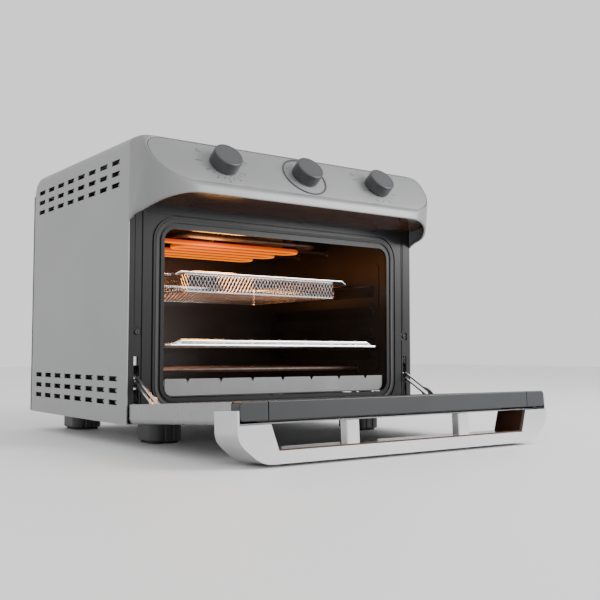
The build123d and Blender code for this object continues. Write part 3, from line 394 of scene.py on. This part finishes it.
def hood_rims():
    """For each station of the left half: the fascia rim, the outer rim and the corner between."""
    inner = [on_slope(x, slope, PANEL_RISE) for x, slope in fascia_outline()]
    lip_x = -SHELL_HALF + HOOD_RADIUS
    outer, knee = [], []
    for x in spread(0.0, lip_x, LIP_STEPS):
        outer.append(Vector((x, HOOD_FRONT, HOOD_LIP)))
    for share in spread(0.0, 1.0, LOWER_STEPS):
        outer.append(lower_edge(share))
    bend_z = SHELL_TOP - SHELL_RADIUS
    side_zs = spread(HOOD_CHEEK, bend_z - SIDE_RUN, SIDE_STEPS)
    for z in side_zs + spread(bend_z - SIDE_RUN, bend_z, UPPER_STEPS // 2):
        outer.append(Vector((-SHELL_HALF, 0, z)))
    for turn in spread(0.0, math.pi / 2, UPPER_STEPS // 2):
        x = -SHELL_HALF + SHELL_RADIUS - SHELL_RADIUS * math.cos(turn)
        outer.append(Vector((x, 0, bend_z + SHELL_RADIUS * math.sin(turn))))
    for x in spread(-SHELL_HALF + SHELL_RADIUS, 0.0, TOP_STEPS):
        outer.append(Vector((x, 0, SHELL_TOP)))
    outer.append(Vector((0, 0, SHELL_TOP)))
    for station, (rim, edge) in enumerate(zip(inner, outer)):
        low = Vector((edge.x if station >= LIP_STEPS else rim.x, edge.y, max(rim.z - 3.5, edge.z + 6)))
        side = Vector((-SHELL_HALF, rim.y + 1.5, rim.z))
        above = Vector((rim.x, rim.y + 1.0, SHELL_TOP))
        if station < SIDE_END:
            turn = min(1.0, max(0.0, (station - BLEND_START) / BLEND_STEPS))
            knee.append(low.lerp(side, turn * turn * (3 - 2 * turn)))
        else:
            turn = min(1.0, (station - SIDE_END) / UPPER_STEPS)
            around = math.pi / 2 * turn
            corner = Vector((
                -SHELL_HALF + SHELL_RADIUS * (1 - math.cos(around)),
                rim.y + 1.5,
                SHELL_TOP - SHELL_RADIUS * (1 - math.sin(around)),
            ))
            knee.append(side.lerp(corner, min(1.0, turn * 2)) if turn < 1 else above)
    return inner, knee, outer


def bezier(a, b, c, d, t):
    s = 1 - t
    return a * s**3 + b * 3 * s * s * t + c * 3 * s * t * t + d * t**3


def mirrored(row):
    """A left half row carried on round the right half, without repeating its two ends."""
    return row + [Vector((-p.x, p.y, p.z)) for p in reversed(row[1:-1])]


def make_hood_skin():
    inner, knee, outer = hood_rims()
    rows = []
    steps = 14
    for step in range(steps + 1):
        t = step / steps
        rows.append(
            [bezier(q, q.lerp(m, 0.75), p.lerp(m, 0.70), p, t) for q, m, p in zip(inner, knee, outer)]
        )
    inside = []
    for p in outer:
        if p.y == 0:
            inside.append(Vector((p.x * 0.992, 0.6, p.z - 2.0 if p.z > 300 else p.z)))
        else:
            inside.append(Vector((p.x * 0.99, p.y * 0.97 if p.y < -5 else p.y, p.z + 0.4)))
    rim_in = [Vector((p.x * 0.9965, p.y + 0.9, p.z - 0.6)) for p in inner]
    rows = [rim_in] + rows + [inside]
    rows = [[place(*point) for point in mirrored(row)] for row in rows]
    hood = mesh_object("hood_cover", *skin_rows(rows, True), hood_skin)
    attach(hood, "case")
    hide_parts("hood")


def make_fascia_face():
    """The control face: a flat plate with a fine groove round it and softened edges."""
    depths = ((0.2, -0.2), (1.1, -0.2), (1.3, 0.9), (1.9, PANEL_RISE))
    rows = []
    for margin, height in depths:
        half = [on_slope(x, slope, height) for x, slope in fascia_outline(margin)]
        rows.append([place(*point) for point in mirrored(half)])
    points, faces = skin_rows(rows, True)
    wide = len(rows[0])
    last = (len(rows) - 1) * wide
    half = (wide + 2) // 2
    for index in range(half - 1):
        left = (last + index, last + index + 1)
        right = (last + (wide - index - 1) % wide, last + (wide - index) % wide)
        quad = (left[0], left[1], right[0], right[1])
        if len(set(quad)) > 2:
            faces.append(tuple(dict.fromkeys(quad)))
    face = mesh_object("fascia_face", points, faces, fascia_skin)
    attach(face, "case")
    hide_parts("fascia_panel", "fascia_border")


# ---------------------------------------------------------------- basket of expanded sheet
class Strands:
    """Flat metal strands gathered into one mesh, in metres."""

    def __init__(self):
        self.points, self.faces = [], []

    def ribbon(self, path, across, through):
        """A bar of rectangular section along a path; across and through are half sizes as vectors."""
        start = len(self.points)
        for point in path:
            for a, b in ((-1, -1), (1, -1), (1, 1), (-1, 1)):
                self.points.append(point + across * a + through * b)
        for index in range(len(path) - 1):
            low, high = start + 4 * index, start + 4 * index + 4
            for side in range(4):
                after = (side + 1) % 4
                self.faces.append((low + side, low + after, high + after, high + side))
        self.faces.append((start, start + 1, start + 2, start + 3))
        last = start + 4 * (len(path) - 1)
        self.faces.append((last, last + 3, last + 2, last + 1))

    def lattice(self, origin, along, up, rows, cells, strand, thickness):
        """Diamond openings between zigzag strands over the panel origin, along, up."""
        out = along.cross(up).normalized()
        half_step = along / (2 * cells)
        for row in range(rows + 1):
            path = []
            for index in range(2 * cells + 1):
                swing = 0.5 if (index + row) % 2 else -0.5
                level = min(1.0, max(0.0, (row + swing) / rows))
                path.append(origin + half_step * index + up * level)
            self.ribbon(path, up.normalized() * strand, out * thickness)


def make_basket_mesh():
    low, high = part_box("basket_mesh")
    corner = 0.0075
    edge = 0.0006
    left, right = low.x + edge, high.x - edge
    near, far = low.y + edge, high.y - edge
    floor_z, rim_z = low.z + edge, high.z - 0.0005
    wall = Vector((0, 0, rim_z - floor_z))
    strands = Strands()
    width, depth = right - left - 2 * corner, far - near - 2 * corner
    rows = 5
    wire, sheet, bend_half = 0.00042, 0.00035, 0.0003
    across, back = Vector((width, 0, 0)), Vector((0, depth, 0))
    for y in (near, far):
        strands.lattice(Vector((left + corner, y, floor_z)), across, wall, rows, 44, wire, sheet)
    for x in (left, right):
        strands.lattice(Vector((x, near + corner, floor_z)), back, wall, rows, 38, wire, sheet)
    steps = 6

    def round_corner(cx, cy, start):
        """Points about a corner's centre from the start angle on, at height 0."""
        turns = [math.radians(start + 90 * index / steps) for index in range(steps + 1)]
        return [Vector((cx + corner * math.cos(t), cy + corner * math.sin(t), 0)) for t in turns]

    bends = [
        round_corner(right - corner, near + corner, -90),
        round_corner(right - corner, far - corner, 0),
        round_corner(left + corner, far - corner, 90),
        round_corner(left + corner, near + corner, 180),
    ]
    for bend in bends:
        for row in range(rows + 1):
            path = []
            for index, point in enumerate(bend):
                swing = 0.5 if (index + row) % 2 else -0.5
                level = min(1.0, max(0.0, (row + swing) / rows))
                path.append(Vector((point.x, point.y, floor_z + wall.z * level)))
            strands.ribbon(path, Vector((0, 0, wire)), Vector((bend_half, bend_half, 0)))
    ring = [point for bend in bends for point in bend]
    ring.append(ring[0])
    for z, half in ((floor_z, 0.0006), (rim_z - 0.0012, 0.0016)):
        path = [Vector((p.x, p.y, z)) for p in ring]
        strands.ribbon(path, Vector((0, 0, half)), Vector((bend_half, bend_half, 0)))
    deck = Strands()
    pitch, lean, half = 0.0062, 0.105, 0.0014
    count = int((right - left + lean) / pitch)
    for index in range(1, count):
        start_x, end_x = left - lean + pitch * index, left + pitch * index
        first, last = max(0.0, (left - start_x) / lean), min(1.0, (right - start_x) / lean)
        ends = [
            Vector((start_x + (end_x - start_x) * t, near + (far - near) * t, floor_z)) for t in (first, last)
        ]
        deck.ribbon(ends, Vector((half, 0, 0.0002)), Vector((0, 0, bend_half)))
    for index in range(1, 12):
        y = near + (far - near) * index / 12
        tie = [Vector((left, y, floor_z)), Vector((right, y, floor_z))]
        deck.ribbon(tie, Vector((0, 0.0005, 0)), Vector((0, 0, bend_half)))
    pan = mesh_object("basket_deck", deck.points, deck.faces, warm_steel, smooth=False)
    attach(pan, "basket")
    basket = mesh_object("basket_lattice", strands.points, strands.faces, chrome, smooth=False)
    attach(basket, "basket")
    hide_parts("basket_mesh")


# ---------------------------------------------------------------- marks on the control face
def mark_quad(points, faces, x, slope, long, wide, angle):
    """A small flat bar printed on the fascia, centred at x and slope, turned by angle degrees."""
    turn = math.radians(angle)
    start = len(points)
    for a, b in ((-1, -1), (1, -1), (1, 1), (-1, 1)):
        u = a * long / 2 * math.cos(turn) - b * wide / 2 * math.sin(turn)
        v = a * long / 2 * math.sin(turn) + b * wide / 2 * math.cos(turn)
        points.append(place(*on_slope(x + u, slope + v, PANEL_RISE + 0.03)))
    faces.append((start, start + 1, start + 2, start + 3))


def make_fascia_marks():
    """Generic scale strokes and plain signs beside the knobs; none of them is lettering."""
    points, faces = [], []
    for knob, arcs in ((-KNOB_SPACING, (205, 335, 9)), (0.0, (150, 30, 5)), (KNOB_SPACING, (200, 340, 7))):
        first, last, count = arcs
        for index in range(count):
            angle = first + (last - first) * index / (count - 1)
            reach = 26.5 if knob else 27.5
            x = knob + reach * math.cos(math.radians(angle))
            slope = KNOB_SLOPE + reach * math.sin(math.radians(angle))
            mark_quad(points, faces, x, slope, 3.0, 0.9, angle)
            if knob and index % 2 == 0:
                x = knob + (reach + 4.4) * math.cos(math.radians(angle))
                slope = KNOB_SLOPE + (reach + 4.4) * math.sin(math.radians(angle))
                mark_quad(points, faces, x, slope, 3.0, 1.6, 0)
    for x, slope in ((-KNOB_SPACING - 33, 60), (-KNOB_SPACING + 34, 50), (KNOB_SPACING - 38, 60)):
        for index in range(3):
            mark_quad(points, faces, x + 2.6 * index, slope - 0.6 * index, 3.2, 1.2, 55 - 50 * index)
        mark_quad(points, faces, x + 2.2, slope + 3.6, 4.2, 1.2, -20)
    mark_quad(points, faces, -KNOB_SPACING - 35, KNOB_SLOPE + 3, 10.0, 1.1, 0)
    mark_quad(points, faces, -KNOB_SPACING + 30, KNOB_SLOPE + 6, 9.0, 1.1, 0)
    mark_quad(points, faces, KNOB_SPACING - 34, KNOB_SLOPE + 12, 9.0, 1.1, 0)
    marks = mesh_object("fascia_marks", points, faces, ink, smooth=False)
    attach(marks, "case")


def make_knob_lines():
    """The fine turned circle and the pointer dot on top of each knob."""
    up = Vector((0, math.sin(FASCIA_LEAN), math.cos(FASCIA_LEAN)))
    side = Vector((1, 0, 0))
    for name, x in (("left", -KNOB_SPACING), ("centre", 0.0), ("right", KNOB_SPACING)):
        top = place(*on_slope(x, KNOB_SLOPE, KNOB_TOP))
        points, faces = [], []
        count = 64
        for radius in LINE_RADII:
            for index in range(count):
                turn = 2 * math.pi * index / count
                points.append(top + (side * math.cos(turn) + up * math.sin(turn)) * radius * MM)
        for index in range(count):
            after = (index + 1) % count
            faces.append((index, after, count + after, count + index))
        for index in range(DOT_SIDES):
            turn = 2 * math.pi * index / DOT_SIDES
            points.append(top + (side * math.cos(turn) + up * (math.sin(turn) + 12.0)) * DOT_RADIUS * MM)
        faces.append(tuple(range(2 * count, 2 * count + DOT_SIDES)))
        lines = mesh_object(f"knob_{name}_lines", points, faces, ink, smooth=False)
        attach(lines, f"{name}_knob")


make_hood_skin()
make_fascia_face()
make_fascia_marks()
make_knob_lines()
make_basket_mesh()


# ---------------------------------------------------------------- studio
def make_floor():
    size = 6.0
    mesh = bpy.data.meshes.new("floor")
    corners = [(-size, -size, 0), (size, -size, 0), (size, size, 0), (-size, size, 0)]
    mesh.from_pydata(corners, [], [(0, 1, 2, 3)])
    floor = bpy.data.objects.new("floor", mesh)
    bpy.context.collection.objects.link(floor)
    pale = Look("pale_floor", (0.86, 0.86, 0.86), 0.6)
    mesh.materials.append(pale.material)


def area_light(name, place, target, size, power, colour=(1, 1, 1)):
    data = bpy.data.lights.new(name, "AREA")
    data.shape = "RECTANGLE"
    data.size, data.size_y = size
    data.energy = power
    data.color = colour
    light = bpy.data.objects.new(name, data)
    light.location = place
    light.rotation_euler = (Vector(target) - Vector(place)).to_track_quat("-Z", "Y").to_euler()
    bpy.context.collection.objects.link(light)
    return light


def make_studio():
    world = bpy.data.worlds.new("studio")
    world.use_nodes = True
    background = world.node_tree.nodes["Background"]
    background.inputs["Color"].default_value = (1.0, 1.0, 1.0, 1.0)
    background.inputs["Strength"].default_value = 1.15
    bpy.context.scene.world = world
    make_floor()
    area_light("key", (1.5, -1.7, 1.1), (0, -0.1, 0.2), (1.2, 1.2), 62)
    lamp = bpy.data.lights.new("oven_lamp", "POINT")
    lamp.energy = 1.5
    lamp.color = (1.0, 0.40, 0.08)
    lamp.shadow_soft_size = 0.04
    glow = bpy.data.objects.new("oven_lamp", lamp)
    glow.visible_camera = False
    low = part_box("grill_element")[0]
    glow.location = (-0.06, low.y - 0.024, low.z - 0.020)
    bpy.context.collection.objects.link(glow)


def make_camera():
    """The viewpoint: low, left of the oven, a metre in front of its shell."""
    data = bpy.data.cameras.new("camera")
    data.lens = 52.36
    data.sensor_width = 36.0
    data.clip_start = 0.02
    camera = bpy.data.objects.new("camera", data)
    camera.location = (-0.708, front - 1.0003, foot_height + 0.0898)
    camera.rotation_euler = (math.radians(90 + 3.467), math.radians(-0.1), math.radians(-36.255))
    bpy.context.collection.objects.link(camera)
    bpy.context.scene.camera = camera


make_studio()
make_camera()
